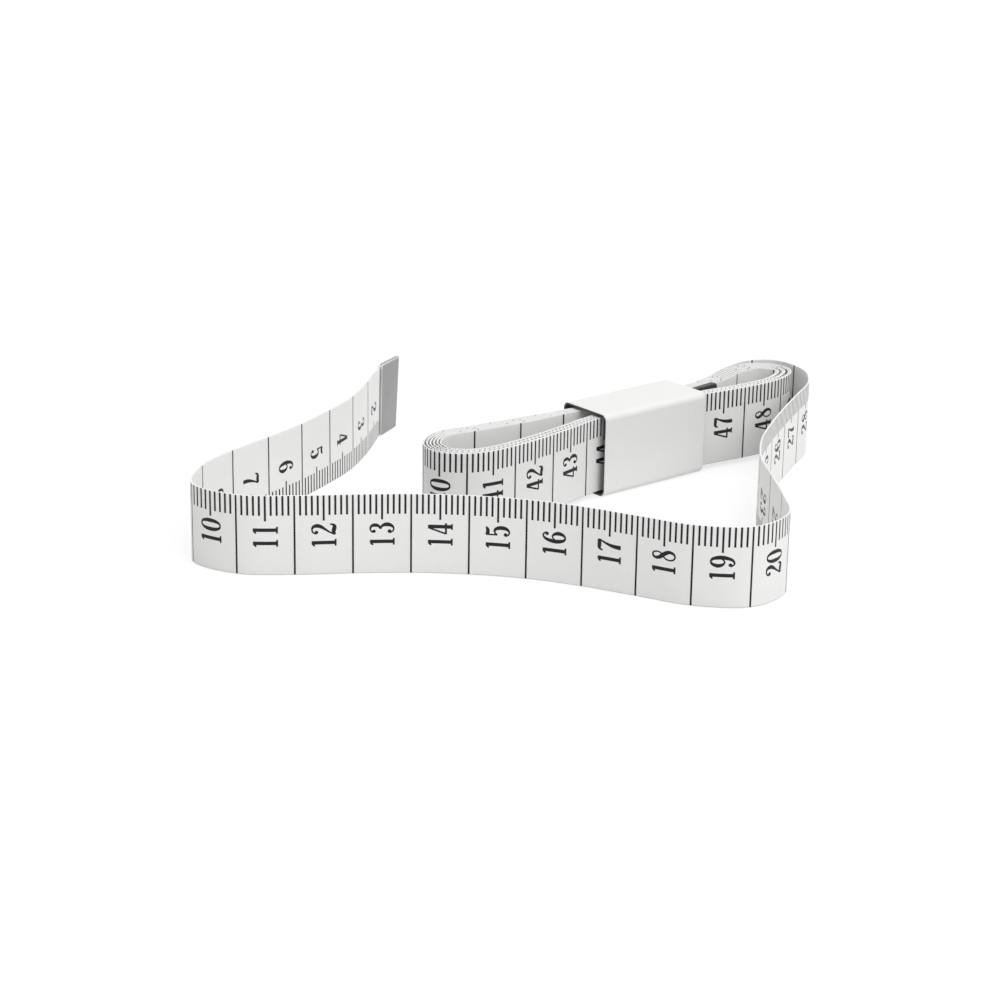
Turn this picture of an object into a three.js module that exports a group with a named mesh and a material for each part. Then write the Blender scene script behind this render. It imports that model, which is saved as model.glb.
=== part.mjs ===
// Cloth tape measure: one woven tape standing on its edge, with a metal tip folded round each end.
// Its far part is wound into a flat hank that a thin plastic sleeve holds; its zero end lies free.
// Millimetres, +Z up. X runs along the hank, the reader stands at -X, -Y.

import * as THREE from 'three';

// The woven tape
const tapeWidth = 14.4;
const tapeThickness = 0.32;
const sectionStep = 1.5; // length of tape between two sections of its solid
const clothJoint = 0.3; // gap where the free stretch meets the hank
const samplesPerSpan = 20; // measured between two points of the route

// The metal tips, one folded round each end of the tape
const tipLength = 8;
const tipSheet = 0.25;
const tipClearance = 0.15; // between the folded sheet and the cloth
const tipProud = 0.25; // how far a tip stands over each edge of the tape
const tipCorner = 1.2; // round corners of its two leaves
const foldSteps = 6;

// The sleeve, a short flat tube round the hank
const sleeveLength = 25.4;
const sleeveBoreDepth = 11.4;
const sleeveWall = 0.35;
const sleeveCorner = 1.3;
const sleeveRimRound = 0.1;
const edgeClearance = 0.5; // between the tape's edges and the sleeve's floor and roof
const sleeveAlong = -0.45; // where it stands, along and across the hank
const sleeveAcross = 0.25;
const cornerSteps = 8;
const rimSteps = 2;

// The hank, measured at its outermost turn
const leftReach = 50.6; // from the middle of the sleeve to the loop on either side
const rightReach = 40.4;
const loopDepth = 16.2;
const turnSpacing = 0.86; // where the turns lie tightest, from middle to middle
const turns = 3.084;

// How the free stretch stands: level on the table, and lifted to the sleeve's floor at the hank
const liftStart = 200;
const liftEnd = 270;

// The free stretch seen from above, between the ends of its bends
const stretchWidth = 134.9;
const stretchDepth = 116;

// Its route, about a centimetre apart from the zero end on, measured from the place where it
// joins the hank: share of the stretch's width, share of its depth
const freeRouteShares = [
  [-0.341, 0.4013], [-0.3934, 0.3718], [-0.4611, 0.3078], [-0.5196, 0.2587], [-0.5789, 0.2231],
  [-0.646, 0.1899], [-0.7159, 0.1644], [-0.7858, 0.142], [-0.8526, 0.1091], [-0.9054, 0.0433],
  [-0.8849, -0.0383], [-0.8271, -0.0942], [-0.7651, -0.1411], [-0.7049, -0.1911], [-0.6506, -0.2481],
  [-0.6023, -0.3137], [-0.5638, -0.3863], [-0.5317, -0.4642], [-0.4988, -0.542], [-0.443, -0.5986],
  [-0.3748, -0.5867], [-0.3281, -0.5209], [-0.2872, -0.4503], [-0.2468, -0.3802], [-0.195, -0.3198],
  [-0.1342, -0.2707], [-0.0719, -0.2268], [-0.0096, -0.1853], [0.0489, -0.1448], [0.0882, -0.0879],
  [0.0927, -0.0207], [0.0549, 0.0104],
];

// Stations of the hank's outermost turn, anticlockwise seen from above, from the join on.
// In a loop: share of the way from the sleeve's mouth to the loop's end, share of the half depth
// of the loop, share of the turn spacing. In the sleeve: share of the half length, share of the
// half depth of the bore, share of the turn spacing.
const rightBackShares = [[0.592, 0.802, 1.57], [0.314, 0.469, 1.34]];
const boreBackShares = [[1, 0.403, 1.25], [0, 0.508, 1.05], [-1, 0.719, 1.16]];
const leftLoopShares = [
  [0.311, 0.679, 1.63], [0.57, 0.852, 1.74], [0.792, 0.975, 1.69], [0.942, 0.605, 1.8],
  [1, 0.062, 1.92], [0.974, -0.432, 1.65], [0.873, -0.84, 1.5], [0.726, -1, 1.35],
  [0.517, -0.963, 1.25], [0.285, -0.802, 1.15],
];
const boreFrontShares = [[-1, -0.772, 1], [0, -0.702, 1], [1, -0.842, 1]];
const rightFrontShares = [
  [0.354, -0.765, 1], [0.668, -0.802, 1.1], [0.895, -0.58, 1.4], [1, -0.111, 1.63],
  [0.964, 0.469, 1.69], [0.819, 0.84, 1.63],
];

const woven = new THREE.MeshStandardMaterial({ color: 0xe6e6e3, roughness: 0.85, metalness: 0 });
const tipMetal = new THREE.MeshStandardMaterial({ color: 0x9c9c9c, roughness: 0.4, metalness: 1 });
const glossPlastic = new THREE.MeshStandardMaterial({ color: 0xf0f0ee, roughness: 0.25, metalness: 0 });

const { smoothstep } = THREE.MathUtils;

// One station of the outermost turn, as a plan position and the spacing of the turns there
function loopStation(side, reach, [alongShare, acrossShare, spacingShare]) {
  const mouth = sleeveLength / 2;
  return {
    x: side * (mouth + alongShare * (reach - mouth)),
    y: acrossShare * loopDepth / 2,
    spacing: spacingShare * turnSpacing,
  };
}

function boreStation([alongShare, acrossShare, spacingShare]) {
  return {
    x: alongShare * sleeveLength / 2,
    y: acrossShare * sleeveBoreDepth / 2,
    spacing: spacingShare * turnSpacing,
  };
}

const stations = [
  ...rightBackShares.map((row) => loopStation(1, rightReach, row)),
  ...boreBackShares.map(boreStation),
  ...leftLoopShares.map((row) => loopStation(-1, leftReach, row)),
  ...boreFrontShares.map(boreStation),
  ...rightFrontShares.map((row) => loopStation(1, rightReach, row)),
];

// A spiral that keeps the outline's shape: at every station each turn lies one spacing
// further in than the turn before, and between stations the step grows evenly
function hankPoint(count) {
  const around = stations.length;
  const here = stations[count % around];
  const before = stations[(count + around - 1) % around];
  const after = stations[(count + 1) % around];
  const inwards = new THREE.Vector2(before.y - after.y, after.x - before.x).normalize();
  const drawnIn = here.spacing * count / around;
  return new THREE.Vector3(here.x + inwards.x * drawnIn, here.y + inwards.y * drawnIn, 0);
}

// The middle of the whole tape, seen from above, as one smooth curve
const join = stations[0];
const hankSpans = Math.ceil(turns * stations.length);
const routePoints = freeRouteShares.map(([widthShare, depthShare]) => (
  new THREE.Vector3(join.x + widthShare * stretchWidth, join.y + depthShare * stretchDepth, 0)
));
const hankPoints = Array.from({ length: hankSpans + 1 }, (_, count) => hankPoint(count));
const middle = new THREE.CatmullRomCurve3([...routePoints, ...hankPoints], false, 'catmullrom', 0.5);
const spans = middle.points.length - 1;
middle.arcLengthDivisions = spans * samplesPerSpan;
const lengths = middle.getLengths();

// Length along the tape at a place that is counted in route points
function lengthAt(count) {
  const at = count * samplesPerSpan;
  const whole = Math.floor(at);
  const next = Math.min(whole + 1, lengths.length - 1);
  return lengths[whole] + (at - whole) * (lengths[next] - lengths[whole]);
}

const curveLength = middle.getLength();
const joinLength = lengthAt(routePoints.length);
const tapeLength = lengthAt(routePoints.length + turns * stations.length);

// Height of the lower edge over the table
function edgeLift(s) {
  const atTip = tipProud * (1 - smoothstep(s, tipLength, 3 * tipLength));
  return atTip + (sleeveWall + edgeClearance) * smoothstep(s, liftStart, liftEnd);
}

// A point of the standing tape: s along it, to its left by offset, and up its width by height
function place(s, offset, height) {
  const share = s / curveLength;
  const point = middle.getPointAt(share);
  const ahead = middle.getTangentAt(share);
  return [point.x - ahead.y * offset, point.y + ahead.x * offset, edgeLift(s) + height];
}

// A standing strip from rows of two faces, left and right, each a length and an offset,
// between a low and a high edge
function standingStrip(rows) {
  const corners = rows.flatMap(({ left, right, low, high }) => [
    place(...right, low), place(...left, low), place(...left, high), place(...right, high),
  ]);
  const nearEnd = [0, 2, 1, 0, 3, 2];
  const faces = [...nearEnd];
  for (let row = 0; row < rows.length - 1; row += 1) {
    for (let side = 0; side < 4; side += 1) {
      const a = row * 4 + side;
      const b = row * 4 + (side + 1) % 4;
      faces.push(a, b, b + 4, a, b + 4, a + 4);
    }
  }
  const farRow = (rows.length - 1) * 4;
  faces.push(...nearEnd.toReversed().map((corner) => farRow + corner));
  const geometry = new THREE.BufferGeometry();
  geometry.setAttribute('position', new THREE.Float32BufferAttribute(corners.flat(), 3));
  geometry.setIndex(faces);
  geometry.computeVertexNormals();
  return geometry;
}

// The woven tape between two lengths
function tapeStrip(from, to) {
  const steps = Math.ceil((to - from) / sectionStep);
  const rows = Array.from({ length: steps + 1 }, (_, step) => {
    const s = from + (to - from) * step / steps;
    return { left: [s, tapeThickness / 2], right: [s, -tapeThickness / 2], low: 0, high: tapeWidth };
  });
  return standingStrip(rows);
}

// A metal tip: one sheet along the right face, round the end of the tape and back along the left.
// The end lies at the length end, and the leaves run from there towards the tape
function tipStrip(end, towards) {
  const innerOffset = tapeThickness / 2 + tipClearance;
  const outerOffset = innerOffset + tipSheet;
  const row = (alongOut, offsetOut, alongIn, offsetIn, inset) => ({
    left: [end + towards * alongOut, towards * offsetOut],
    right: [end + towards * alongIn, towards * offsetIn],
    low: inset - tipProud,
    high: tapeWidth + tipProud - inset,
  });
  const leaf = (side) => {
    const flat = row(outerOffset, side * outerOffset, outerOffset, side * innerOffset, 0);
    const round = Array.from({ length: cornerSteps + 1 }, (_, step) => {
      const angle = Math.PI / 2 * step / cornerSteps;
      const along = tipLength - tipCorner * (1 - Math.sin(angle));
      return row(along, side * outerOffset, along, side * innerOffset, tipCorner * (1 - Math.cos(angle)));
    });
    return [flat, ...round];
  };
  const fold = Array.from({ length: foldSteps - 1 }, (_, step) => {
    const angle = Math.PI * ((step + 1) / foldSteps - 0.5);
    const out = [outerOffset * (1 - Math.cos(angle)), outerOffset * Math.sin(angle)];
    const within = [outerOffset - innerOffset * Math.cos(angle), innerOffset * Math.sin(angle)];
    return row(...out, ...within, 0);
  });
  return standingStrip([...leaf(-1).toReversed(), ...fold, ...leaf(1)]);
}

// A rectangle with round corners, its middle at the origin
function roundedRectangle(path, width, height, radius) {
  const x = width / 2 - radius;
  const y = height / 2 - radius;
  path.absarc(x, y, radius, 0, Math.PI / 2, false);
  path.absarc(-x, y, radius, Math.PI / 2, Math.PI, false);
  path.absarc(-x, -y, radius, Math.PI, Math.PI * 1.5, false);
  path.absarc(x, -y, radius, Math.PI * 1.5, Math.PI * 2, false);
  path.closePath();
  return path;
}

// The sleeve, drawn across the hank and drawn out along it, with its rims rounded
function sleeveTube() {
  const boreHeight = tapeWidth + 2 * edgeClearance;
  const height = boreHeight + 2 * sleeveWall;
  const section = roundedRectangle(
    new THREE.Shape(), sleeveBoreDepth + 2 * sleeveWall, height, sleeveCorner,
  );
  section.holes.push(roundedRectangle(
    new THREE.Path(), sleeveBoreDepth, boreHeight, sleeveCorner - sleeveWall,
  ));
  const tube = new THREE.ExtrudeGeometry(section, {
    depth: sleeveLength - 2 * sleeveRimRound,
    curveSegments: cornerSteps,
    bevelThickness: sleeveRimRound,
    bevelSize: sleeveRimRound,
    bevelOffset: -sleeveRimRound,
    bevelSegments: rimSteps,
  });
  tube.translate(0, 0, sleeveRimRound - sleeveLength / 2);
  tube.rotateX(Math.PI / 2);
  tube.rotateZ(Math.PI / 2);
  tube.translate(sleeveAlong, sleeveAcross, height / 2);
  return tube;
}

// The least gap of the tape to itself, measured on points along its middle
function leastGap() {
  const count = Math.ceil(tapeLength / (sectionStep / 3));
  const points = Array.from({ length: count + 1 }, (_, step) => (
    middle.getPointAt(tapeLength * step / count / curveLength)
  ));
  const apart = Math.ceil(tapeWidth / (tapeLength / count));
  let least = Infinity;
  for (let a = 0; a < points.length; a += 1) {
    for (let b = a + apart; b < points.length; b += 1) {
      least = Math.min(least, points[a].distanceTo(points[b]));
    }
  }
  return least - tapeThickness;
}

const tapeMeasure = new THREE.Group();

function addPiece(name, geometry, material) {
  const mesh = new THREE.Mesh(geometry, material);
  mesh.name = name;
  tapeMeasure.add(mesh);
}

const clothEnd = tipSheet + tipClearance;
addPiece('tape_free_stretch', tapeStrip(clothEnd, joinLength - clothJoint / 2), woven);
addPiece('tape_hank', tapeStrip(joinLength + clothJoint / 2, tapeLength - clothEnd), woven);
addPiece('zero_end_tip', tipStrip(0, 1), tipMetal);
addPiece('far_end_tip', tipStrip(tapeLength, -1), tipMetal);
addPiece('sleeve', sleeveTube(), glossPlastic);

// The origin is the middle of the whole object, on the table
const box = new THREE.Box3().setFromObject(tapeMeasure);
const centre = box.getCenter(new THREE.Vector3());
tapeMeasure.position.set(-centre.x, -centre.y, -box.min.z);
tapeMeasure.updateMatrixWorld(true);

console.log(`tape ${tapeLength.toFixed(1)} mm long, ${joinLength.toFixed(1)} mm of it free`);
console.log(`least gap of the tape to itself ${leastGap().toFixed(3)} mm`);

export default tapeMeasure;
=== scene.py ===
import math

import bpy
import numpy as np
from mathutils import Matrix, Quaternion, Vector
from mathutils.geometry import delaunay_2d_cdt


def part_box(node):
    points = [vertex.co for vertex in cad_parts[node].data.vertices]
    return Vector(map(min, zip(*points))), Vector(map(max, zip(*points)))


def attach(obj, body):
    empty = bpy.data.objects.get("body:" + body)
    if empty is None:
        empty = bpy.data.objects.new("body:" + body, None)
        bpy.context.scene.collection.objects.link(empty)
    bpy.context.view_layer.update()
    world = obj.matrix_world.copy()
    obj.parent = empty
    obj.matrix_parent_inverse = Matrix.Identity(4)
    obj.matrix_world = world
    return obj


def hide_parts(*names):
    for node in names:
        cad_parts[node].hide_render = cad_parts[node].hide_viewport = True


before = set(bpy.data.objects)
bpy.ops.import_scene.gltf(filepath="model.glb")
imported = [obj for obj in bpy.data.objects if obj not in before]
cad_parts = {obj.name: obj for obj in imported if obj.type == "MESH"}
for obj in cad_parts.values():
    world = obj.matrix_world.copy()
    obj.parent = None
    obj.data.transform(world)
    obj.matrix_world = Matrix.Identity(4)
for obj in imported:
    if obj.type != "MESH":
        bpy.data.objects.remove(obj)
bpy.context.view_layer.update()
scene = bpy.context.scene
scene.view_settings.view_transform = "Standard"

# Lengths are in millimetres until a mesh is put in. Plan places count from the middle of the hank's
# bore stations, which the sleeve stands a little aside of.
millimetre = 0.001
nearly = 1e-4  # places nearer than this count as one
sleeveAside = np.array([-0.45, 0.25, 0.0])
sleeveLow, sleeveHigh = (np.array(corner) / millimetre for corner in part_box("sleeve"))
sleevePlace = np.array([*(sleeveLow + sleeveHigh)[:2] / 2, 0.0])
hankPlace = sleevePlace - sleeveAside


# The camera stands at the photograph's place and is rolled by a degree, as that one was.
def makeCamera():
    values = dict(
        place=(-0.302868, -0.350043, 0.16116),
        aim=(-0.003903, 0.010056, 0.0),
        roll=0.92,
        lens=95.4,
        sensor=36.0,
        nearest=0.01,
    )
    data = bpy.data.cameras.new("camera")
    data.lens = values["lens"]
    data.sensor_width = values["sensor"]
    data.clip_start = values["nearest"]
    camera = bpy.data.objects.new("camera", data)
    scene.collection.objects.link(camera)
    camera.location = values["place"]
    towards = Vector(values["aim"]) - Vector(values["place"])
    turn = towards.to_track_quat("-Z", "Y")
    roll = Quaternion((0.0, 0.0, 1.0), math.radians(values["roll"]))
    camera.rotation_mode = "QUATERNION"
    camera.rotation_quaternion = turn @ roll
    scene.camera = camera


makeCamera()
print("camera placed")


# A mesh from numpy arrays: one normal and one UV place a point, and one material slot a triangle.
def putIn(name, points, triangles, normals=None, slots=None, uv=None):
    mesh = bpy.data.meshes.new(name)
    mesh.vertices.add(len(points))
    mesh.vertices.foreach_set("co", (points * millimetre).astype(np.float32).ravel())
    mesh.loops.add(triangles.size)
    mesh.loops.foreach_set("vertex_index", triangles.astype(np.int32).ravel())
    mesh.polygons.add(len(triangles))
    mesh.polygons.foreach_set("loop_start", np.arange(len(triangles), dtype=np.int32) * 3)
    if slots is not None:
        mesh.polygons.foreach_set("material_index", slots.astype(np.int32))
    mesh.update(calc_edges=True)
    mesh.polygons.foreach_set("use_smooth", np.ones(len(triangles), bool))
    if uv is not None:
        layer = mesh.uv_layers.new(name="UVMap")
        layer.data.foreach_set("uv", uv[triangles.ravel()].astype(np.float32).ravel())
    if normals is not None:
        mesh.normals_split_custom_set_from_vertices(normals.astype(np.float32))
    piece = bpy.data.objects.new(name, mesh)
    scene.collection.objects.link(piece)
    return piece


# Each vector divided by its length.
def unit(vectors):
    return vectors / np.maximum(np.linalg.norm(vectors, axis=-1, keepdims=True), 1e-12)


# Two triangles for each square of a grid of point numbers, all the first ones before the second.
def squares(grid):
    p, q, r, t = grid[:-1, :-1], grid[:-1, 1:], grid[1:, 1:], grid[1:, :-1]
    return np.concatenate([np.stack([p, q, r], -1), np.stack([p, r, t], -1)]).reshape(-1, 3)


# The triangles, turned over together if they enclose a volume below zero.
def outwards(points, triangles):
    a, b, c = (points[triangles[:, k]] for k in range(3))
    return triangles if np.sum(a * np.cross(b, c)) > 0 else triangles[:, ::-1]


# 3t² - 2t³, with t the share of the way from start to end, held to 0..1.
def smoothstep(value, start, end):
    share = np.clip((value - start) / (end - start), 0.0, 1.0)
    return share * share * (3.0 - 2.0 * share)


# The route of the tape, drawn from the same numbers as in the CAD source but wound in more turns
tape = dict(
    width=14.4,
    thickness=0.32,
    edgeRound=0.04,  # how far the rounding of an edge reaches down the faces
    rimSteps=3,
    clothEnd=0.4,  # the cloth ends this far inside a tip's fold
    liftStart=200.0,  # the lower edge rises to the hank between these lengths
    liftEnd=270.0,
    hankLift=0.85,
    stretchWidth=134.9,
    stretchDepth=116.0,
)
tip = dict(
    length=8.0,
    sheet=0.25,
    clearance=0.03,  # between the cloth's faces and the sheet
    proud=0.25,  # how far the sheet stands past the cloth's edges
    corner=1.2,
    foldSteps=16,
    cornerSteps=12,
    edgeSteps=8,
    lean=0.7,  # how far the foot of the zero end stands aside of its top
    leanLength=14.0,
)
sleeve = dict(
    length=25.4,
    boreDepth=11.4,
    wall=0.35,
    corner=1.3,
    clearance=0.5,  # below and above the cloth
    lip=0.45,  # the wall as it is seen at the mouths
    rim=0.1,
    rimPoints=5,
    cornerSteps=12,
)
hank = dict(
    leftReach=50.6,
    rightReach=40.4,
    loopDepth=16.2,
    turnSpacing=0.86,
    turns=6.084,
    close=0.345,  # the spacing of two turns that lie on each other
    pairFrom=(10.0, 12.5),  # the stations where pairs of turns close up and part again
    pairTo=(20.0, 22.0),
    back=(0.75, 1.0),  # the shares of a turn where it goes back to half a spacing
    tight=0.2,  # the share of the spacing that the back loses, and where that begins and ends
    tightFrom=(0.0, 0.15),
    tightTo=(0.45, 0.62),
    endInset=0.3,  # the tape's end draws in by this over its last stations
    endStations=3,
)

# The free stretch: shares of the stretch's width and depth, from the first station of the hank
freeRouteShares = [
    (-0.341, 0.4013), (-0.3934, 0.3718), (-0.4611, 0.3078), (-0.5196, 0.2587), (-0.5789, 0.2231),
    (-0.646, 0.1899), (-0.7159, 0.1644), (-0.7858, 0.142), (-0.8526, 0.1091), (-0.9054, 0.0433),
    (-0.8849, -0.0383), (-0.8271, -0.0942), (-0.7651, -0.1411), (-0.7049, -0.1911),
    (-0.6506, -0.2481), (-0.6023, -0.3137), (-0.5638, -0.3863), (-0.5317, -0.4642),
    (-0.4988, -0.542), (-0.443, -0.5986), (-0.3748, -0.5867), (-0.3281, -0.5209),
    (-0.2872, -0.4503), (-0.2468, -0.3802), (-0.195, -0.3198), (-0.1342, -0.2707),
    (-0.0719, -0.2268), (-0.0096, -0.1853), (0.0489, -0.1448), (0.0882, -0.0879),
    (0.0927, -0.0207), (0.0549, 0.0104),
]
# Stations of the outermost turn: share of the way out, share of the half depth, share of the spacing
rightBackShares = [(0.592, 0.802, 1.57), (0.314, 0.469, 1.34)]
boreBackShares = [(1, 0.403, 1.25), (0, 0.508, 1.05), (-1, 0.719, 1.16)]
leftLoopShares = [
    (0.311, 0.679, 1.63), (0.57, 0.852, 1.74), (0.792, 0.975, 1.69), (0.942, 0.605, 1.8),
    (1, 0.062, 1.92), (0.974, -0.432, 1.65), (0.873, -0.84, 1.5), (0.726, -1, 1.35),
    (0.517, -0.963, 1.25), (0.285, -0.802, 1.15),
]
boreFrontShares = [(-1, -0.772, 1), (0, -0.702, 1), (1, -0.842, 1)]
rightFrontShares = [
    (0.354, -0.765, 1), (0.668, -0.802, 1.1), (0.895, -0.58, 1.4), (1, -0.111, 1.63),
    (0.964, 0.469, 1.69), (0.819, 0.84, 1.63),
]


# Plan place and spacing of each station: x = side * (mouth + a (reach - mouth)), y = c depth / 2.
def hankStations():
    mouth = sleeve["length"] / 2
    bore = np.array([mouth, sleeve["boreDepth"] / 2, hank["turnSpacing"]])

    def loop(side, reach, shares):
        out = np.array(shares, float)
        x = side * (mouth + out[:, 0] * (reach - mouth))
        return np.stack([x, out[:, 1] * hank["loopDepth"] / 2, out[:, 2] * hank["turnSpacing"]], 1)

    return np.concatenate(
        [
            loop(1, hank["rightReach"], rightBackShares),
            np.array(boreBackShares, float) * bore,
            loop(-1, hank["leftReach"], leftLoopShares),
            np.array(boreFrontShares, float) * bore,
            loop(1, hank["rightReach"], rightFrontShares),
        ]
    )


# The free stretch, then the spiral, in which two turns of cloth lie in one spacing: at a share p of a
# turn, inset = spacing * f(p) + turn * half, and half = spacing / 2 * (1 - tight * t(p)). f(p) is p, as
# in the CAD, and goes back to a half at a turn's end. Over the front every second turn lies close on
# the one outside it.
def routePoints():
    stations = hankStations()
    around = len(stations)
    free = np.array(freeRouteShares) * [tape["stretchWidth"], tape["stretchDepth"]]
    count = np.arange(math.ceil(hank["turns"] * around) + 1)
    station, turn = count % around, count // around
    here = stations[station]
    along = stations[(count + 1) % around, :2] - stations[(count - 1) % around, :2]
    inwards = unit(np.stack([-along[:, 1], along[:, 0]], 1))
    share = station / around
    drawn = share - (share - 0.5) * smoothstep(share, *hank["back"])
    tightness = smoothstep(share, *hank["tightFrom"]) * (1 - smoothstep(share, *hank["tightTo"]))
    half = here[:, 2] / 2 * (1 - hank["tight"] * tightness)
    paired = smoothstep(station, *hank["pairFrom"]) * (1 - smoothstep(station, *hank["pairTo"]))
    inset = here[:, 2] * drawn + turn * half - paired * (turn % 2) * (half - hank["close"])
    inset = inset + hank["endInset"] * smoothstep(count, count[-1] - hank["endStations"], count[-1])
    wound = here[:, :2] + inwards * inset[:, None]
    return np.concatenate([stations[0, :2] + free, wound]), len(free), around


# A uniform Catmull-Rom curve through the route points, read by its length.
class Route:
    def __init__(self, stepsPerSpan=60):
        points, free, around = routePoints()
        before, after = 2 * points[0] - points[1], 2 * points[-1] - points[-2]
        padded = np.concatenate([[before], points, [after]])
        a, b, c, d = (padded[k : k + len(points) - 1] for k in range(4))
        self.terms = 0.5 * np.stack([2 * b, c - a, 2 * a - 5 * b + 4 * c - d, 3 * b - 3 * c + d - a])
        self.counts = np.linspace(0, len(points) - 1, (len(points) - 1) * stepsPerSpan + 1)
        walked, _ = self.at(self.counts)
        steps = np.linalg.norm(np.diff(walked, axis=0), axis=1)
        self.lengths = np.concatenate([[0.0], np.cumsum(steps)])
        last = free + hank["turns"] * around
        self.tapeLength = float(np.interp(last, self.counts, self.lengths))

    # The place on a span, (2b + t (c - a) + t² (2a - 5b + 4c - d) + t³ (3b - 3c + d - a)) / 2, and
    # the unit tangent.
    def at(self, counts):
        span = np.minimum(counts.astype(int), self.terms.shape[1] - 1)
        share = (counts - span)[:, None]
        one, two, three, four = self.terms[:, span]
        place = one + share * (two + share * (three + share * four))
        return place, unit(two + share * (2 * three + share * 3 * four))

    # The place and tangent at a length along the route, which runs straight on past both ends.
    def byLength(self, s):
        inside = np.clip(s, 0.0, self.lengths[-1])
        place, ahead = self.at(np.interp(inside, self.lengths, self.counts))
        return place + ahead * (s - inside)[:, None], ahead


route = Route()
print(f"tape {route.tapeLength:.1f} mm long")


# The height of the lower edge: the tip's overhang at the zero end, then the sleeve's floor.
def edgeLift(s):
    atTip = tip["proud"] * (1 - smoothstep(s, tip["length"], 3 * tip["length"]))
    return atTip + tape["hankLift"] * smoothstep(s, tape["liftStart"], tape["liftEnd"])


# The zero end stands a little out of true: lean * (h / width - 1), fading out along the tape.
def leaned(s, height):
    fading = 1 - smoothstep(s, 0.0, tip["leanLength"])
    return tip["lean"] * (height / tape["width"] - 1.0) * fading


# Middle + left of travel * (offset + lean), at a height of lift + h.
def placed(s, offset, height):
    middle, ahead = route.byLength(s)
    aside = np.asarray(offset + leaned(s, height))
    plan = middle + aside[..., None] * np.stack([-ahead[:, 1], ahead[:, 0]], 1)
    return np.column_stack([plan, edgeLift(s) + height]) + hankPlace


# A direction given as sideways, upwards and lengthways on the flat tape, turned as the tape is.
def turned(s, offset, height, sideways, upwards, lengthways=0.0):
    step = 0.02  # slopes are taken over this much of the tape to either side
    ahead = unit(placed(s + step, offset, height) - placed(s - step, offset, height))
    up = unit(placed(s, offset, height + step) - placed(s, offset, height - step))
    left = unit(np.cross(up, ahead))
    up = unit(np.cross(ahead, left))
    parts = (left, sideways), (up, upwards), (ahead, lengthways)
    return unit(sum(way * np.broadcast_to(share, len(s))[:, None] for way, share in parts))


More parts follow.
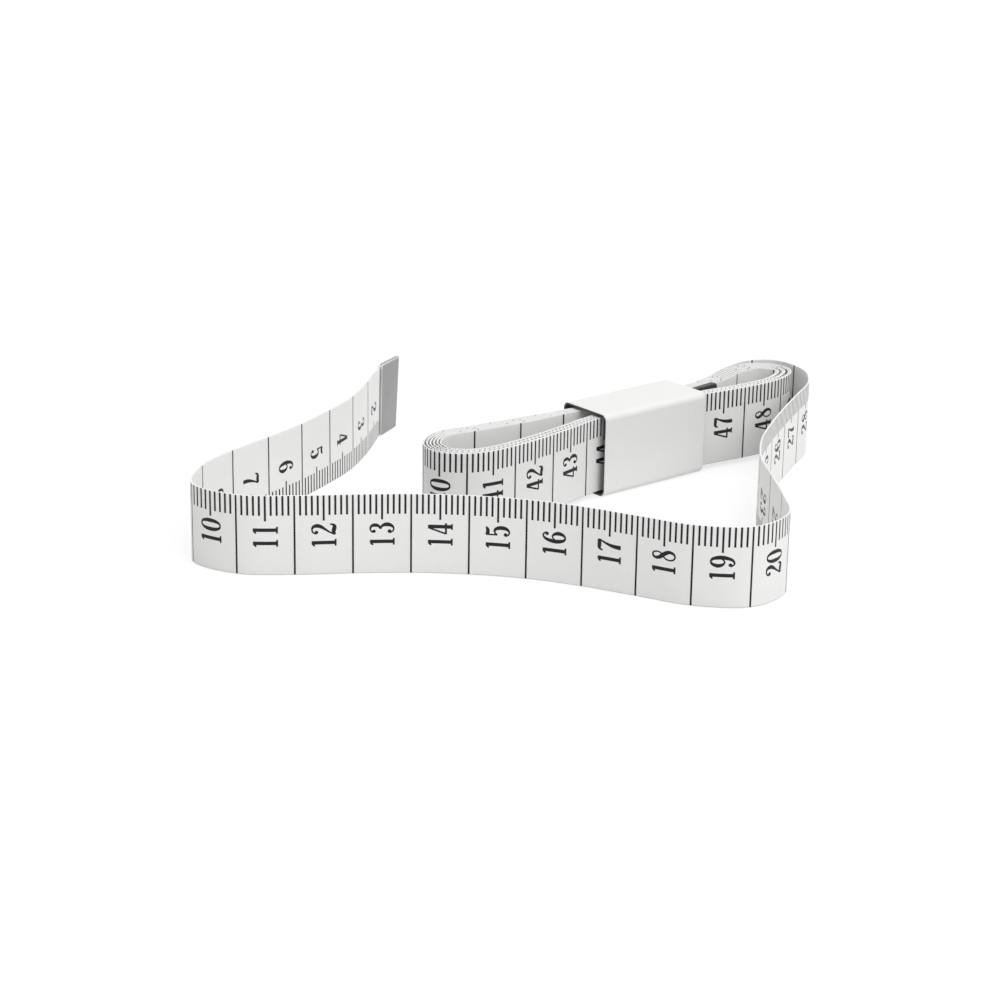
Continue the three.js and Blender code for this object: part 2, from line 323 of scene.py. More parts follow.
# The digits as strokes, in millimetres about a digit's middle: rows of x, y and the stroke's width
digitStrokes = {
    "0": [
        [(0, 2.0, 0.14), (0.45, 1.72, 0.26), (0.73, 0.9, 0.44), (0.78, 0, 0.5), (0.73, -0.9, 0.44),
         (0.45, -1.72, 0.26), (0, -2.0, 0.14)],
        [(0, -2.0, 0.14), (-0.45, -1.72, 0.26), (-0.73, -0.9, 0.44), (-0.78, 0, 0.5),
         (-0.73, 0.9, 0.44), (-0.45, 1.72, 0.26), (0, 2.0, 0.14)],
    ],
    "2": [
        [(-0.78, 1.3, 0.13), (-0.55, 1.82, 0.14), (0, 2.02, 0.16), (0.5, 1.78, 0.34),
         (0.68, 1.15, 0.5), (0.5, 0.5, 0.42), (0.05, -0.2, 0.24), (-0.5, -1.0, 0.15),
         (-0.88, -1.75, 0.14)],
        [(-0.93, -1.98, 0.22), (-0.6, -1.72, 0.44), (-0.15, -1.72, 0.52), (0.35, -1.84, 0.52),
         (0.7, -1.76, 0.36), (0.88, -1.45, 0.18), (0.94, -1.05, 0.11)],
    ],
    "3": [
        [(-0.76, 1.45, 0.12), (-0.52, 1.86, 0.13), (0, 2.02, 0.16), (0.46, 1.74, 0.34),
         (0.58, 1.16, 0.46), (0.4, 0.58, 0.3), (-0.12, 0.24, 0.13)],
        [(-0.12, 0.24, 0.13), (0.42, 0.0, 0.28), (0.7, -0.72, 0.5), (0.56, -1.5, 0.42),
         (0.06, -1.99, 0.16), (-0.5, -1.86, 0.13), (-0.82, -1.35, 0.12)],
    ],
    "4": [
        [(0.36, 2.1, 0.46), (0.36, -2.0, 0.46)],
        [(0.16, 2.05, 0.16), (-0.92, -0.98, 0.16)],
        [(-1.0, -1.0, 0.2), (1.0, -1.0, 0.2)],
        [(-0.16, -2.03, 0.15), (0.9, -2.03, 0.15)],
    ],
    "5": [
        [(-0.62, 2.08, 0.13), (-0.62, 0.08, 0.13)],
        [(-0.62, 0.12, 0.12), (-0.2, 0.56, 0.17), (0.36, 0.44, 0.34), (0.66, -0.3, 0.5),
         (0.6, -1.3, 0.46), (0.14, -1.94, 0.2), (-0.42, -1.9, 0.13), (-0.8, -1.42, 0.12)],
        [(-0.66, 1.86, 0.46), (-0.15, 1.74, 0.46), (0.35, 1.8, 0.4), (0.78, 2.06, 0.1)],
    ],
    "6": [
        [(0.8, 1.42, 0.12), (0.52, 1.88, 0.13), (0.08, 2.0, 0.18), (-0.44, 1.5, 0.34),
         (-0.73, 0.4, 0.48), (-0.73, -0.65, 0.5), (-0.48, -1.6, 0.34), (0, -2.0, 0.14)],
        [(0, -2.0, 0.14), (0.46, -1.64, 0.32), (0.72, -0.82, 0.48), (0.54, -0.02, 0.34),
         (0.12, 0.36, 0.14), (-0.3, 0.2, 0.12), (-0.62, -0.3, 0.12)],
    ],
    "7": [
        [(-0.96, 1.2, 0.12), (-0.86, 1.62, 0.2), (-0.55, 1.84, 0.42), (0, 1.84, 0.5),
         (0.5, 1.84, 0.5), (0.93, 1.9, 0.42)],
        [(0.92, 1.92, 0.13), (0.42, 0.85, 0.22), (0.04, -0.3, 0.4), (-0.1, -1.25, 0.52),
         (-0.1, -2.1, 0.54)],
    ],
    "8": [
        [(0.57, 1.2, 0.13), (0.4, 1.8, 0.14), (0, 2.02, 0.16), (-0.42, 1.8, 0.24),
         (-0.55, 1.25, 0.36), (-0.26, 0.6, 0.5), (0.3, -0.1, 0.54), (0.68, -0.9, 0.44),
         (0.54, -1.68, 0.28), (0, -2.02, 0.16), (-0.54, -1.74, 0.14), (-0.76, -1.05, 0.14)],
        [(-0.76, -1.05, 0.14), (-0.58, -0.36, 0.13), (-0.06, 0.18, 0.13), (0.42, 0.66, 0.13),
         (0.57, 1.2, 0.13)],
    ],
    "1": [
        [(0, 2.1, 0.44), (0, -2.05, 0.44)],
        [(-0.62, -2.02, 0.17), (0.62, -2.02, 0.17)],
        [(-0.64, 1.56, 0.12), (-0.4, 1.74, 0.2), (-0.1, 1.96, 0.26)],
    ],
}
digitStrokes["9"] = [[(-x, -y, w) for x, y, w in stroke] for stroke in digitStrokes["6"]]
digitBalls = {  # the round ends of strokes: x, y and radius
    "2": [(-0.52, 1.26, 0.29)],
    "3": [(-0.52, 1.38, 0.27), (-0.55, -1.28, 0.31)],
    "5": [(-0.53, -1.34, 0.3)],
    "6": [(0.53, 1.34, 0.29)],
    "9": [(-0.53, -1.34, 0.29)],
}
centimetre = 10
printed = dict(
    zeroAt=-1.71,  # the scale's zero, as a length along the tape
    tickHalf=0.185,
    lineHalf=0.17,
    shortTick=3.6,
    longTick=4.6,
    numberDepth=7.4,  # a number's middle below the top edge
    digitPitch=2.4,
    narrowPitch=1.72,  # the pitch and width of digits in numbers of three
    narrow=0.74,
    bolder=1.14,
    hairline=0.14,
    ball=0.04,  # added to a ball's radius
    ballSides=10,
    rows=(5.0, 9.8),  # heights of the lines that divide the cells lengthways
    cellFrom=-9.5,  # a cell reaches this far round the line that it is named after
    cellTo=0.5,
    clearOfCut=0.1,
    closeness=1e-5,
    joinsPerMillimetre=2000,
    strokeSteps=3,
    hiddenFrom=50,  # from this number on the print is wound inside the hank
    hiddenSteps=2,
)


# A Catmull-Rom line through rows of numbers, with steps places on each span.
def smoothed(points, steps):
    rows = np.array(points, float)
    if len(rows) < 3:
        return rows
    padded = np.concatenate([[2 * rows[0] - rows[1]], rows, [2 * rows[-1] - rows[-2]]])
    a, b, c, d = (padded[k : k + len(rows) - 1] for k in range(4))
    t = (np.arange(steps) / steps)[None, :, None]
    a, b, c, d = (each[:, None] for each in (a, b, c, d))
    terms = 2 * b + (c - a) * t + (2 * a - 5 * b + 4 * c - d) * t**2 + (3 * b - 3 * c + d - a) * t**3
    return np.concatenate([(0.5 * terms).reshape(-1, rows.shape[1]), rows[-1:]])


# The stroke's two sides, (hairline + bolder * width) / 2 to the left and right, as one closed outline.
def strokeOutline(stroke, steps):
    line = smoothed(stroke, steps)
    along = unit(np.gradient(line[:, :2], axis=0))
    half = (printed["hairline"] + printed["bolder"] * line[:, 2:]) / 2
    out = np.stack([-along[:, 1], along[:, 0]], 1) * half
    return np.concatenate([line[:, :2] - out, (line[:, :2] + out)[::-1]])


# A circle of straight sides round (x, y), a little larger than its radius.
def ballOutline(x, y, radius):
    angle = np.arange(printed["ballSides"]) / printed["ballSides"] * 2 * np.pi
    grown = radius + printed["ball"]
    return np.stack([x + grown * np.cos(angle), y + grown * np.sin(angle)], 1)


# The outlines of every digit: those of its strokes, then those of its balls.
def digitOutlines(steps):
    return {
        digit: [strokeOutline(stroke, steps) for stroke in strokes]
        + [ballOutline(*ball) for ball in digitBalls.get(digit, [])]
        for digit, strokes in digitStrokes.items()
    }


openDigits = digitOutlines(printed["strokeSteps"])
hiddenDigits = digitOutlines(printed["hiddenSteps"])


# The outlines of a number, turned a quarter: its top points to the zero end. Three digits are
# drawn narrower than two, and numbers wound inside the hank have fewer points.
def numberOutlines(number):
    text = str(number)
    digits = openDigits if number < printed["hiddenFrom"] else hiddenDigits
    pitch, width = printed["digitPitch"], 1.0
    if len(text) > 2:
        pitch, width = printed["narrowPitch"], printed["narrow"]
    shift = (np.arange(len(text)) - (len(text) - 1) / 2) * pitch
    for digit, across in zip(text, shift):
        for outline in digits[digit]:
            s = printed["zeroAt"] + number * centimetre - centimetre / 2 - outline[:, 1]
            height = tape["width"] - printed["numberDepth"] + outline[:, 0] * width + across
            yield np.stack([s, height], 1)


# The outline, turned round if it encloses an area below zero.
def anticlockwise(outline):
    x, y = outline.T
    return outline if np.sum(x * np.roll(y, -1) - y * np.roll(x, -1)) > 0 else outline[::-1]


# One centimetre of the flat tape, cut along its print: points, triangles, which are ink.
# Lines over the whole width at both sides of each tick let the strip bend finely.
def printedCell(number, start, end):
    low, high = tape["edgeRound"], tape["width"] - tape["edgeRound"]
    zero, clear = printed["zeroAt"], printed["clearOfCut"]
    inks = [outline for outline in numberOutlines(number) if start + clear < outline[:, 0].min()]
    inks = [outline for outline in inks if outline[:, 0].max() < end - clear]
    columns = []
    for mark in range(math.ceil(start - zero), int(end - zero) + 1):
        whole, middle = mark % centimetre == 0, mark % centimetre == centimetre / 2
        half = printed["lineHalf"] if whole else printed["tickHalf"]
        reach = printed["longTick"] if middle else printed["shortTick"]
        bottom = low if whole else tape["width"] - reach
        left, right = mark + zero - half, mark + zero + half
        if left <= start or right >= end:
            continue
        columns += [left, right]
        inks.append(np.array([(left, bottom), (right, bottom), (right, high), (left, high)]))
    border = np.array([(start, low), (end, low), (end, high), (start, high)])
    outlines = [border] + [anticlockwise(ink) for ink in inks]
    points = np.concatenate(outlines)
    firsts = np.cumsum([0] + [len(outline) for outline in outlines])
    faces = [list(range(a, b)) for a, b in zip(firsts[:-1], firsts[1:])]
    upright = [[(s, low), (s, high)] for s in columns]
    level = [[(start, height), (end, height)] for height in printed["rows"]]
    lines = np.array(upright + level).reshape(-1, 2)
    edges = [(len(points) + 2 * k, len(points) + 2 * k + 1) for k in range(len(lines) // 2)]
    points = np.concatenate([points, lines])
    vectors = [Vector(point) for point in points.tolist()]
    wholeArea = 0  # the kind of cut that gives triangles for the whole cell
    made = delaunay_2d_cdt(vectors, edges, faces, wholeArea, printed["closeness"], True)
    places, _, triangles, _, _, sources = made
    inked = [any(source > 0 for source in whose) for whose in sources]  # 0 is the border
    return np.array([tuple(place) for place in places]), np.array(triangles), np.array(inked)


# The whole printed face, its cells joined where their points agree, without the triangles that the
# joining closes.
def flatPrint():
    first, last = tape["clothEnd"], route.tapeLength - tape["clothEnd"]
    cells = math.ceil((last - printed["zeroAt"] - printed["cellTo"]) / centimetre)
    points, triangles, inked, count = [], [], [], 0
    for number in range(1, cells + 1):
        line = printed["zeroAt"] + number * centimetre
        start, end = max(first, line + printed["cellFrom"]), min(last, line + printed["cellTo"])
        flat, faces, ink = printedCell(number, start, end)
        points.append(flat)
        triangles.append(faces + count)
        inked.append(ink)
        count += len(flat)
    points = np.concatenate(points)
    places = np.round(points * printed["joinsPerMillimetre"]).astype(np.int64)
    _, index, inverse = np.unique(places, axis=0, return_index=True, return_inverse=True)
    triangles = inverse.ravel()[np.concatenate(triangles)]
    whole = (triangles != np.roll(triangles, 1, axis=1)).all(axis=1)
    return points[index], triangles[whole], np.concatenate(inked)[whole]


# The tape's mesh as it grows: points (s, offset, height), the way each faces, triangles and slots.
class Strip:
    def __init__(self):
        self.points, self.across, self.upwards, self.faces, self.slots = [], [], [], [], []
        self.count = 0

    def addPoints(self, points, across, upwards):
        self.points.append(points)
        self.across.append(across)
        self.upwards.append(upwards)
        self.count += len(points)
        return np.arange(self.count - len(points), self.count)

    def addFaces(self, faces, slots=None):
        self.faces.append(faces)
        self.slots.append(np.zeros(len(faces), bool) if slots is None else slots)

    def places(self):
        return np.concatenate(self.points)


# The print on both faces: offset = side * thickness / 2, and on the left face upside down,
# height = width - h. Gives the numbers of each face's points.
def addPrint(strip):
    flat, triangles, ink = flatPrint()
    s, height = flat.T
    a, b, c = (flat[triangles[:, k]] for k in range(3))
    area = (b - a)[:, 0] * (c - a)[:, 1] - (b - a)[:, 1] * (c - a)[:, 0]
    triangles = np.where((area > 0)[:, None], triangles, triangles[:, ::-1])
    faces = []
    for side, heights in ((-1, height), (1, tape["width"] - height)):
        across = np.full(len(s), float(side))
        places = np.stack([s, across * tape["thickness"] / 2, heights], 1)
        points = strip.addPoints(places, across, np.zeros(len(s)))
        strip.addFaces(points[triangles], ink)
        faces.append(points)
    return faces


lengthAxis, heightAxis = 0, 2  # of a point (s, offset, height)


# Those points whose place on one axis is the value, ordered by another axis.
def pointsAt(places, points, axis, value, order):
    found = points[np.abs(places[points, axis] - value) < nearly]
    return found[np.argsort(places[found, order])]


# A half ellipse from the right face to the left: offset = -half cos a, and
# height = edge + way * round * sin a. Gives its rows of points, those of the faces included.
def addRim(strip, faces, edge, way):
    half, reach, steps = tape["thickness"] / 2, tape["edgeRound"], tape["rimSteps"]
    places = strip.places()
    right, left = (pointsAt(places, points, heightAxis, edge, lengthAxis) for points in faces)
    angle = (np.arange(1, steps) / steps * np.pi)[:, None]
    out = np.broadcast_to(-half * np.cos(angle), (steps - 1, len(right)))
    rise = np.broadcast_to(way * reach * np.sin(angle), out.shape)
    s = np.broadcast_to(places[right, 0], out.shape)
    between = strip.addPoints(
        np.stack([s, out, edge + rise], -1).reshape(-1, 3),
        (out / half**2).ravel(),
        (rise / reach**2).ravel(),
    )
    rows = np.concatenate([right[None], between.reshape(out.shape), left[None]])
    triangles = squares(rows)
    strip.addFaces(triangles if way > 0 else triangles[:, ::-1])
    return rows


# A fan from the middle of an end to the ring of both faces and both rims.
def addEnd(strip, faces, rims, end):
    places = strip.places()
    s = places[rims[0][0, end], 0]
    right, left = (pointsAt(places, points, lengthAxis, s, heightAxis) for points in faces)
    top, bottom = (rim[1:-1, end] for rim in rims)
    ring = np.concatenate([right, top, left[::-1], bottom[::-1]])
    middle = np.array([[s, 0.0, tape["width"] / 2]])
    centre = np.full(len(ring), strip.addPoints(middle, np.zeros(1), np.zeros(1))[0])
    fan = np.stack([centre, ring, np.roll(ring, -1)], 1)
    strip.addFaces(fan[:, ::-1] if end == 0 else fan)


# The printed faces, the two round rims and the two ends, laid along the route. The point in the
# middle of each end faces out along the tape, and all others across or upwards.
def makeTape():
    strip = Strip()
    faces = addPrint(strip)
    low, high = tape["edgeRound"], tape["width"] - tape["edgeRound"]
    rims = [addRim(strip, faces, high, 1), addRim(strip, faces, low, -1)]
    for end in (0, -1):
        addEnd(strip, faces, rims, end)
    s, offset, height = strip.places().T
    across, upwards = np.concatenate(strip.across), np.concatenate(strip.upwards)
    lengthways = np.sign(s - route.tapeLength / 2) * ((across == 0) & (upwards == 0))
    triangles = np.concatenate(strip.faces)
    print(f"tape mesh: {strip.count} points, {len(triangles)} triangles")
    return putIn(
        "printed_tape",
        placed(s, offset, height),
        triangles,
        normals=turned(s, offset, height, across, upwards, lengthways),
        slots=np.concatenate(strip.slots),
        uv=np.stack([s, height], 1) * millimetre,
    )


# A shader node group with its sockets, each given as a name, a kind and, for an input, a first value.
def newGroup(name, takes, gives):
    group = bpy.data.node_groups.new(name, "ShaderNodeTree")
    for label, kind, value in takes:
        socket = group.interface.new_socket(label, in_out="INPUT", socket_type="NodeSocket" + kind)
        if value is not None:
            socket.default_value = value
    for label, kind in gives:
        group.interface.new_socket(label, in_out="OUTPUT", socket_type="NodeSocket" + kind)
    return group, group.nodes.new("NodeGroupInput"), group.nodes.new("NodeGroupOutput")


# A math node whose inputs are numbers or sockets; gives its output socket.
def mathNode(tree, operation, *values):
    node = tree.nodes.new("ShaderNodeMath")
    node.operation = operation
    for socket, value in zip(node.inputs, values):
        if hasattr(value, "is_linked"):
            tree.links.new(value, socket)
        else:
            socket.default_value = value
    return node.outputs[0]


# Soft patches round 1: 1 + amount * (2 noise - 1).
def makePatches():
    takes = [("Vector", "Vector", None), ("Scale", "Float", 100.0), ("Amount", "Float", 0.05)]
    group, given, put = newGroup("soft_patches", takes, [("Value", "Float")])
    noise = group.nodes.new("ShaderNodeTexNoise")
    noise.inputs["Detail"].default_value = 3.0
    noise.inputs["Roughness"].default_value = 0.55
    group.links.new(given.outputs["Vector"], noise.inputs["Vector"])
    group.links.new(given.outputs["Scale"], noise.inputs["Scale"])
    centred = mathNode(group, "MULTIPLY_ADD", noise.outputs["Fac"], 2.0, -1.0)
    value = mathNode(group, "MULTIPLY_ADD", centred, given.outputs["Amount"], 1.0)
    group.links.new(value, put.inputs["Value"])
    return group


# Threads under the coating, from the flat place (u, v): the height is sin(pi n u) * sin(pi n v) where
# that is above zero, so that every second crossing stands up.
def makeWeave():
    takes = [
        ("Vector", "Vector", None),
        ("Threads", "Float", 1400.0),
        ("Strength", "Float", 0.2),
        ("Distance", "Float", 0.00002),
    ]
    gives = [("Normal", "Vector"), ("Height", "Float")]
    group, given, put = newGroup("coated_weave", takes, gives)
    parts = group.nodes.new("ShaderNodeSeparateXYZ")
    group.links.new(given.outputs["Vector"], parts.inputs[0])
    turnRate = mathNode(group, "MULTIPLY", given.outputs["Threads"], math.pi)
    warp = mathNode(group, "SINE", mathNode(group, "MULTIPLY", parts.outputs["X"], turnRate))
    weft = mathNode(group, "SINE", mathNode(group, "MULTIPLY", parts.outputs["Y"], turnRate))
    height = mathNode(group, "MAXIMUM", mathNode(group, "MULTIPLY", warp, weft), 0.0)
    bump = group.nodes.new("ShaderNodeBump")
    group.links.new(given.outputs["Strength"], bump.inputs["Strength"])
    group.links.new(given.outputs["Distance"], bump.inputs["Distance"])
    group.links.new(height, bump.inputs["Height"])
    group.links.new(bump.outputs["Normal"], put.inputs["Normal"])
    group.links.new(height, put.inputs["Height"])
    return group


# A colour times two factors.
def makeTinted():
    takes = [
        ("Color", "Color", (0.8, 0.8, 0.8, 1.0)),
        ("First", "Float", 1.0),
        ("Second", "Float", 1.0),
    ]
    group, given, put = newGroup("tinted", takes, [("Color", "Color")])
    factor = mathNode(group, "MULTIPLY", given.outputs["First"], given.outputs["Second"])
    scaled = group.nodes.new("ShaderNodeVectorMath")
    scaled.operation = "SCALE"
    group.links.new(given.outputs["Color"], scaled.inputs[0])
    group.links.new(factor, scaled.inputs["Scale"])
    group.links.new(scaled.outputs[0], put.inputs["Color"])
    return group


patches, weave, tinted = makePatches(), makeWeave(), makeTinted()


# A material, its node tree and its shader.
def newMaterial(name):
    material = bpy.data.materials.new(name)
    material.use_nodes = True
    tree = material.node_tree
    return material, tree, tree.nodes["Principled BSDF"]


# A group node whose inputs are numbers or sockets.
def useGroup(tree, group, **values):
    node = tree.nodes.new("ShaderNodeGroup")
    node.node_tree = group
    for label, value in values.items():
        if hasattr(value, "is_linked"):
            tree.links.new(value, node.inputs[label])
        else:
            node.inputs[label].default_value = value
    return node


# The place on the flat piece, in metres along and across it.
def flatPlace(tree):
    node = tree.nodes.new("ShaderNodeUVMap")
    node.uv_map = "UVMap"
    return node.outputs["UV"]


# A place times a scale on each axis.
def stretched(tree, vector, scale):
    node = tree.nodes.new("ShaderNodeVectorMath")
    node.operation = "MULTIPLY"
    tree.links.new(vector, node.inputs[0])
    node.inputs[1].default_value = scale
    return node.outputs[0]


# The shader's normal, tilted as a height times a distance would tilt it.
def bumped(tree, shader, height, strength, distance):
    node = tree.nodes.new("ShaderNodeBump")
    node.inputs["Strength"].default_value = strength
    node.inputs["Distance"].default_value = distance
    tree.links.new(height, node.inputs["Height"])
    tree.links.new(node.outputs["Normal"], shader.inputs["Normal"])


# Coated cloth: a faint weave, soft patches, and painted shade along the lower edge, where the tape
# stands on the floor: the colour times start + h / reach, held to 1.
def clothMaterial(name, colour, roughness, seeThrough, gloss):
    values = dict(
        threads=1450.0,
        bump=0.16,
        patchScale=60.0,
        patches=0.012,
        grainScale=2600.0,
        grain=0.02,
        edgeStart=0.5,
        edgeReach=0.0004,
        scatter=0.0004,
    )
    material, tree, shader = newMaterial(name)
    flat = flatPlace(tree)
    parts = tree.nodes.new("ShaderNodeSeparateXYZ")
    tree.links.new(flat, parts.inputs[0])
    # Painted shade: the colour darkens towards the lower edge, as a contact shadow would darken it.
    perMetre, start = 1 / values["edgeReach"], values["edgeStart"]
    edge = mathNode(tree, "MULTIPLY_ADD", parts.outputs["Y"], perMetre, start)
    edge = mathNode(tree, "MAXIMUM", mathNode(tree, "MINIMUM", edge, 1.0), start)
    threads = useGroup(tree, weave, Vector=flat, Threads=values["threads"], Strength=values["bump"])
    broad = useGroup(tree, patches, Vector=flat, Scale=values["patchScale"], Amount=values["patches"])
    fine = useGroup(tree, patches, Vector=flat, Scale=values["grainScale"], Amount=values["grain"])
    # Soft patches times the painted shade at the lower edge.
    patchesAndFootShade = mathNode(tree, "MULTIPLY", broad.outputs[0], edge)
    shade = useGroup(tree, tinted, Color=(*colour, 1.0), First=patchesAndFootShade, Second=fine.outputs[0])
    tree.links.new(shade.outputs[0], shader.inputs["Base Color"])
    tree.links.new(threads.outputs["Normal"], shader.inputs["Normal"])
    rough = mathNode(tree, "MULTIPLY", broad.outputs[0], roughness)
    tree.links.new(mathNode(tree, "MULTIPLY", rough, fine.outputs[0]), shader.inputs["Roughness"])
    shader.inputs["Subsurface Weight"].default_value = seeThrough
    shader.inputs["Subsurface Radius"].default_value = (1.0, 1.0, 1.0)
    shader.inputs["Subsurface Scale"].default_value = values["scatter"]
    shader.inputs["Specular IOR Level"].default_value = gloss
    return material


# Satin metal: fine brushing along the tip, soft patches where it has been handled, and a painted
# highlight on the rims: the colour times 1 + a gain * the higher of two ramps, which rise to the leaf's
# end and to the top edge.
def tipMaterial(name, colour, roughness):
    values = dict(
        brushed=(600.0, 9000.0, 1.0),
        brush=0.05,
        patchScale=450.0,
        patches=0.10,
        highlightGain=1.2,
        ramp=0.0005,
        bump=0.12,
        bumpHeight=0.00002,
    )
    material, tree, shader = newMaterial(name)
    flat = flatPlace(tree)
    streaks = stretched(tree, flat, values["brushed"])
    lines = useGroup(tree, patches, Vector=streaks, Scale=1.0, Amount=values["brush"])
    broad = useGroup(tree, patches, Vector=flat, Scale=values["patchScale"], Amount=values["patches"])
    parts = tree.nodes.new("ShaderNodeSeparateXYZ")
    tree.links.new(flat, parts.inputs[0])
    leafEnd, topEdge = tip["length"] * millimetre, (tape["width"] + tip["proud"]) * millimetre
    perMetre = 1 / values["ramp"]
    ramps = [
        mathNode(tree, "MULTIPLY_ADD", parts.outputs[axis], perMetre, 1 - end * perMetre)
        for axis, end in (("X", leafEnd), ("Y", topEdge))
    ]
    # Painted highlight: the colour grows brighter towards the leaf's end and the top edge.
    paintedHighlight = mathNode(tree, "MAXIMUM", mathNode(tree, "MAXIMUM", *ramps), 0.0)
    paintedHighlight = mathNode(tree, "MULTIPLY_ADD", paintedHighlight, values["highlightGain"], 1.0)
    patchesAndHighlight = mathNode(tree, "MULTIPLY", broad.outputs[0], paintedHighlight)
    shade = useGroup(tree, tinted, Color=(*colour, 1.0), First=patchesAndHighlight, Second=lines.outputs[0])
    tree.links.new(shade.outputs[0], shader.inputs["Base Color"])
    rough = mathNode(tree, "MULTIPLY", broad.outputs[0], roughness)
    tree.links.new(mathNode(tree, "MULTIPLY", rough, lines.outputs[0]), shader.inputs["Roughness"])
    bumped(tree, shader, lines.outputs[0], values["bump"], values["bumpHeight"])
    shader.inputs["Metallic"].default_value = 1.0
    return material


# Moulded plastic: a faint unevenness of colour and gloss, and a barely waved face.
def plasticMaterial(name, colour, roughness):
    values = dict(
        patchScale=180.0, patches=0.012, glossScale=420.0, gloss=0.10, wave=0.25, waveHeight=0.00003
    )
    material, tree, shader = newMaterial(name)
    place = tree.nodes.new("ShaderNodeTexCoord").outputs["Object"]
    broad = useGroup(tree, patches, Vector=place, Scale=values["patchScale"], Amount=values["patches"])
    gloss = useGroup(tree, patches, Vector=place, Scale=values["glossScale"], Amount=values["gloss"])
    shade = useGroup(tree, tinted, Color=(*colour, 1.0), First=broad.outputs[0])
    tree.links.new(shade.outputs[0], shader.inputs["Base Color"])
    tree.links.new(mathNode(tree, "MULTIPLY", gloss.outputs[0], roughness), shader.inputs["Roughness"])
    bumped(tree, shader, broad.outputs[0], values["wave"], values["waveHeight"])
    return material


white, black = (0.82, 0.82, 0.81), (0.02, 0.02, 0.022)
cloth = clothMaterial("coated_cloth", white, roughness=0.5, seeThrough=1.0, gloss=0.5)
ink = clothMaterial("print_ink", black, roughness=0.42, seeThrough=0.0, gloss=0.15)
zeroMetal = tipMaterial("tip_metal", (0.31, 0.31, 0.31), roughness=0.36)
# The far tip's near-black colour is painted shade: the tip lies in shade inside the hank's loop.
farMetal = tipMaterial("tip_metal_painted_shade", (0.09, 0.09, 0.09), roughness=0.4)
plastic = plasticMaterial("sleeve_plastic", (0.78, 0.78, 0.77), roughness=0.3)
# Painted shade: the bore and the end faces of the mouths are dark plastic, as they lie in shade.
plasticPaintedShade = plasticMaterial("sleeve_painted_shade", (0.07, 0.07, 0.07), roughness=0.6)
print("materials made")


# The middle line of the folded sheet, along one leaf, round a half circle and back: its place ahead
# and aside, the inset of its edges at the leaves' round corners, and the way out of the fold.
def foldLine():
    inner = tape["thickness"] / 2 + tip["clearance"]
    outer, middle = inner + tip["sheet"], inner + tip["sheet"] / 2
    fold = np.linspace(-math.pi / 2, math.pi / 2, tip["foldSteps"] + 1)[1:-1]
    corner = np.linspace(math.pi / 2, 0, tip["cornerSteps"] + 1)
    leafAlong = tip["length"] - tip["corner"] * (1 - np.sin(corner))
    leafInset = tip["corner"] * (1 - np.cos(corner))
    none, one = np.zeros(len(corner)), np.ones(len(corner))
    ahead = np.concatenate([leafAlong, outer - middle * np.cos(fold), leafAlong[::-1]])
    inset = np.concatenate([leafInset, np.zeros(len(fold)), leafInset[::-1]])
    outAhead = np.concatenate([none, -np.cos(fold), none])
    outAside = np.concatenate([-one, np.sin(fold), one])
    return ahead, middle * outAside, inset, outAhead, outAside


# A sheet folded round the end. Its section is a bar with half-round edges: through the sheet by
# half * sin a, and at a height of the middle +- (span - half) + half * cos a.
def makeTip(name, end, towards):
    line, offset, inset, outAhead, outAside = (row[:, None] for row in foldLine())
    middle, half = tape["width"] / 2, tip["sheet"] / 2
    angle = np.linspace(-math.pi / 2, math.pi / 2, tip["edgeSteps"] + 1)
    through = np.concatenate([np.sin(angle), -np.sin(angle)]) * half
    rise = np.concatenate([np.cos(angle), -np.cos(angle)]) * half
    top = np.repeat([1.0, -1.0], len(angle))
    ahead, aside = line + outAhead * through, offset + outAside * through
    height = middle + top * (middle + tip["proud"] - inset - half) + rise
    rows, columns = ahead.shape
    points = placed(end + towards * ahead.ravel(), towards * aside.ravel(), height.ravel())
    flat = np.stack([ahead.ravel(), height.ravel()], 1)
    points, flat = (
        np.concatenate([each, [each[:columns].mean(0)], [each[-columns:].mean(0)]])
        for each in (points, flat)
    )
    grid = np.arange(rows * columns).reshape(rows, columns)
    firstMiddle, lastMiddle = (np.full(columns, rows * columns + k) for k in (0, 1))
    first, last = grid[0], grid[-1]
    caps = [
        np.stack([np.roll(first, -1), first, firstMiddle], 1),
        np.stack([last, np.roll(last, -1), lastMiddle], 1),
    ]
    closed = np.pad(grid, ((0, 0), (0, 1)), mode="wrap")
    triangles = np.concatenate([squares(closed), *caps])
    return putIn(name, points, outwards(points, triangles), uv=flat * millimetre)


# A rectangle with round corners and no needless points, anticlockwise, with its normals.
def roundedLoop(halfWidth, halfHeight, radius, steps):
    angle = np.linspace(0, math.pi / 2, steps + 1)
    places, ways = [], []
    for quarter, (x, y) in enumerate([(1, 1), (-1, 1), (-1, -1), (1, -1)]):
        turn = angle + quarter * math.pi / 2
        way = np.stack([np.cos(turn), np.sin(turn)], 1)
        places.append(np.array([x * (halfWidth - radius), y * (halfHeight - radius)]) + radius * way)
        ways.append(way)
    return np.concatenate(places), np.concatenate(ways)


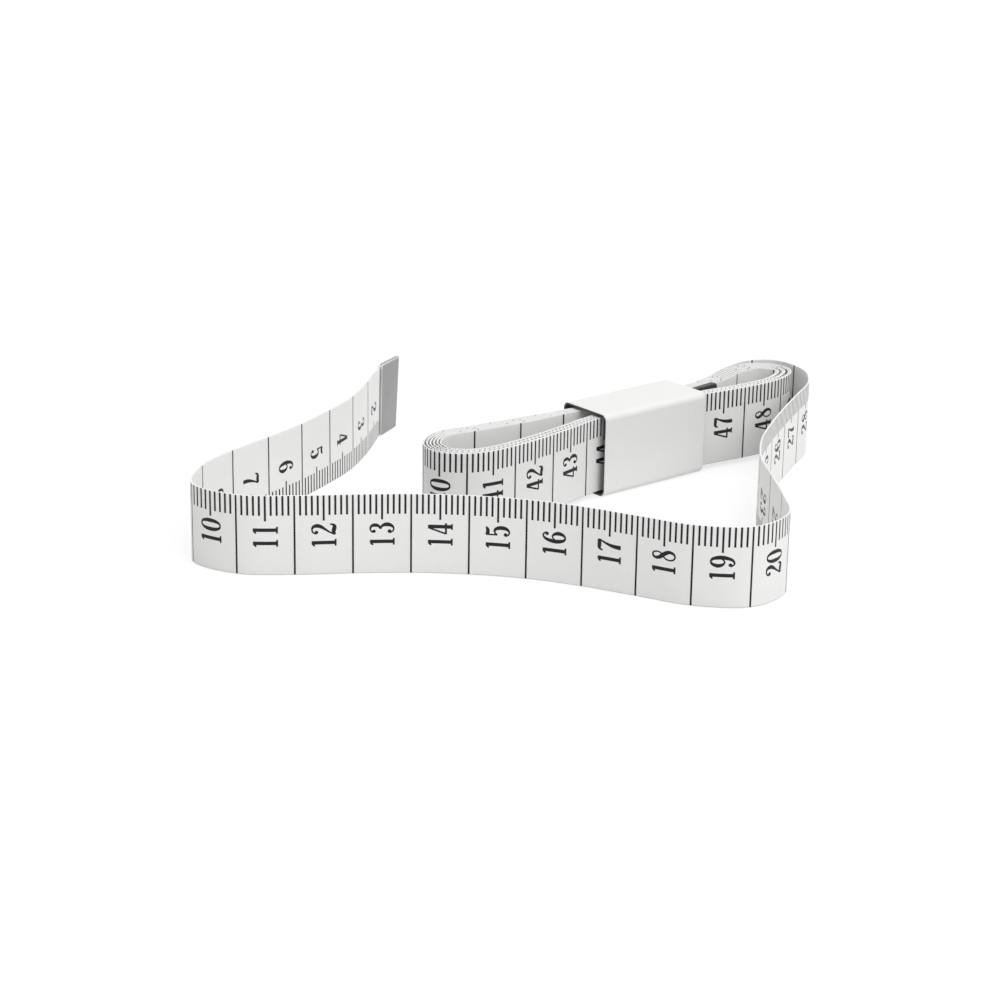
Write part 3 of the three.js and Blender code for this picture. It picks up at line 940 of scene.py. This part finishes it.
# A tube round the hank. A section (x, out) of its wall, with small round corners at both ends, is
# carried round the outer loop: place = loop + outward way * out.
def makeSleeve():
    outerHeight = tape["width"] + 2 * (sleeve["clearance"] + sleeve["wall"])
    outerDepth = sleeve["boreDepth"] + 2 * sleeve["wall"]
    loop, way = roundedLoop(
        outerDepth / 2, outerHeight / 2, sleeve["corner"], sleeve["cornerSteps"]
    )
    rim = sleeve["rim"]
    inner, reach = sleeve["lip"] - rim, sleeve["length"] / 2 - rim
    quarters = [
        (1, rim, math.pi / 2, 0.0),
        (1, inner, 0.0, -math.pi / 2),
        (-1, inner, -math.pi / 2, -math.pi),
        (-1, rim, math.pi, math.pi / 2),
    ]
    x, out, facesX, facesOut = [], [], [], []
    for side, depth, start, stop in quarters:
        angle = np.linspace(start, stop, sleeve["rimPoints"])
        x.append(side * reach + rim * np.cos(angle))
        out.append(rim * np.sin(angle) - depth)
        facesX.append(np.cos(angle))
        facesOut.append(np.sin(angle))
    x, out, facesX, facesOut = (np.concatenate(part) for part in (x, out, facesX, facesOut))
    shape = len(loop), len(x), 1
    ring = loop[:, None] + way[:, None] * out[:, None]
    points = np.concatenate([np.broadcast_to(x[:, None], shape), ring], -1).reshape(-1, 3)
    turnedWay = way[:, None] * facesOut[:, None]
    normals = np.concatenate([np.broadcast_to(facesX[:, None], shape), turnedWay], -1).reshape(-1, 3)
    points = points + [0, 0, outerHeight / 2] + sleevePlace
    grid = np.arange(len(points)).reshape(len(loop), len(x))
    triangles = outwards(points, squares(np.pad(grid, ((0, 1), (0, 1)), mode="wrap")))
    # The faces behind the outer round of each rim, the end faces and the bore, take the painted-shade
    # plastic.
    behindRim = (out < nearly - rim)[triangles % len(x)].all(axis=1)
    return putIn("plastic_sleeve", points, triangles, normals, slots=behindRim)


tapePiece = makeTape()
tapePiece.data.materials.append(cloth)
tapePiece.data.materials.append(ink)
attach(tapePiece, "tape")
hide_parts("tape_free_stretch", "tape_hank")

for name, node, end, towards, metal in (
    ("zero_tip", "zero_end_tip", 0.0, 1, zeroMetal),
    ("far_tip", "far_end_tip", route.tapeLength, -1, farMetal),
):
    piece = makeTip(name, end, towards)
    piece.data.materials.append(metal)
    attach(piece, "tape")
    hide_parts(node)

sleevePiece = makeSleeve()
sleevePiece.data.materials.append(plastic)
sleevePiece.data.materials.append(plasticPaintedShade)
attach(sleevePiece, "sleeve")
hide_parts("sleeve")
print("tape, tips and sleeve made")


# One value on rays from the camera, a mirror or glass, and another on all other rays.
def bySight(tree, seen, unseen):
    path = tree.nodes.new("ShaderNodeLightPath")
    sight = mathNode(tree, "MAXIMUM", path.outputs["Is Camera Ray"], path.outputs["Is Glossy Ray"])
    sight = mathNode(tree, "MAXIMUM", sight, path.outputs["Is Transmission Ray"])
    return mathNode(tree, "MULTIPLY_ADD", sight, seen - unseen, unseen)


# A floor that is white where it is seen in the background, and still keeps the object's shadow.
def makeFloor():
    values = dict(size=3.0, height=-0.0001, colour=0.8, seenColour=0.3, glow=0.74, roughness=0.9)
    bpy.ops.mesh.primitive_plane_add(size=values["size"], location=(0, 0, values["height"]))
    floor = bpy.context.object
    floor.name = "floor"
    material, tree, shader = newMaterial("floor")
    shader.inputs["Roughness"].default_value = values["roughness"]
    shader.inputs["Specular IOR Level"].default_value = 0.0
    shader.inputs["Emission Color"].default_value = (1, 1, 1, 1)
    tree.links.new(bySight(tree, values["seenColour"], values["colour"]), shader.inputs["Base Color"])
    tree.links.new(bySight(tree, values["glow"], 0.0), shader.inputs["Emission Strength"])
    floor.data.materials.append(material)


# White where it is seen, and a dimmer light on the object.
def makeWorld():
    values = dict(light=0.54, seen=1.0)
    world = bpy.data.worlds.new("world")
    scene.world = world
    world.use_nodes = True
    tree = world.node_tree
    background = tree.nodes["Background"]
    background.inputs["Color"].default_value = (1, 1, 1, 1)
    tree.links.new(bySight(tree, values["seen"], values["light"]), background.inputs["Strength"])


# A square lamp that points at the middle of the table under the object.
def makeLamp(name, place, size, power):
    data = bpy.data.lights.new(name, "AREA")
    data.shape = "SQUARE"
    data.size = size
    data.energy = power
    lamp = bpy.data.objects.new(name, data)
    scene.collection.objects.link(lamp)
    lamp.location = place
    lamp.rotation_euler = (-Vector(place)).to_track_quat("-Z", "Y").to_euler()


makeFloor()
makeWorld()
lamps = dict(
    topLamp=dict(place=(0.1, 0.15, 1.1), size=0.9, power=4.0),
    frontLamp=dict(place=(0.0, -0.95, 0.95), size=0.9, power=8.3),
    rightLamp=dict(place=(0.9, -0.3, 0.7), size=0.8, power=0.7),
)
for name, values in lamps.items():
    makeLamp(name, **values)
print("floor, world and lamps made")
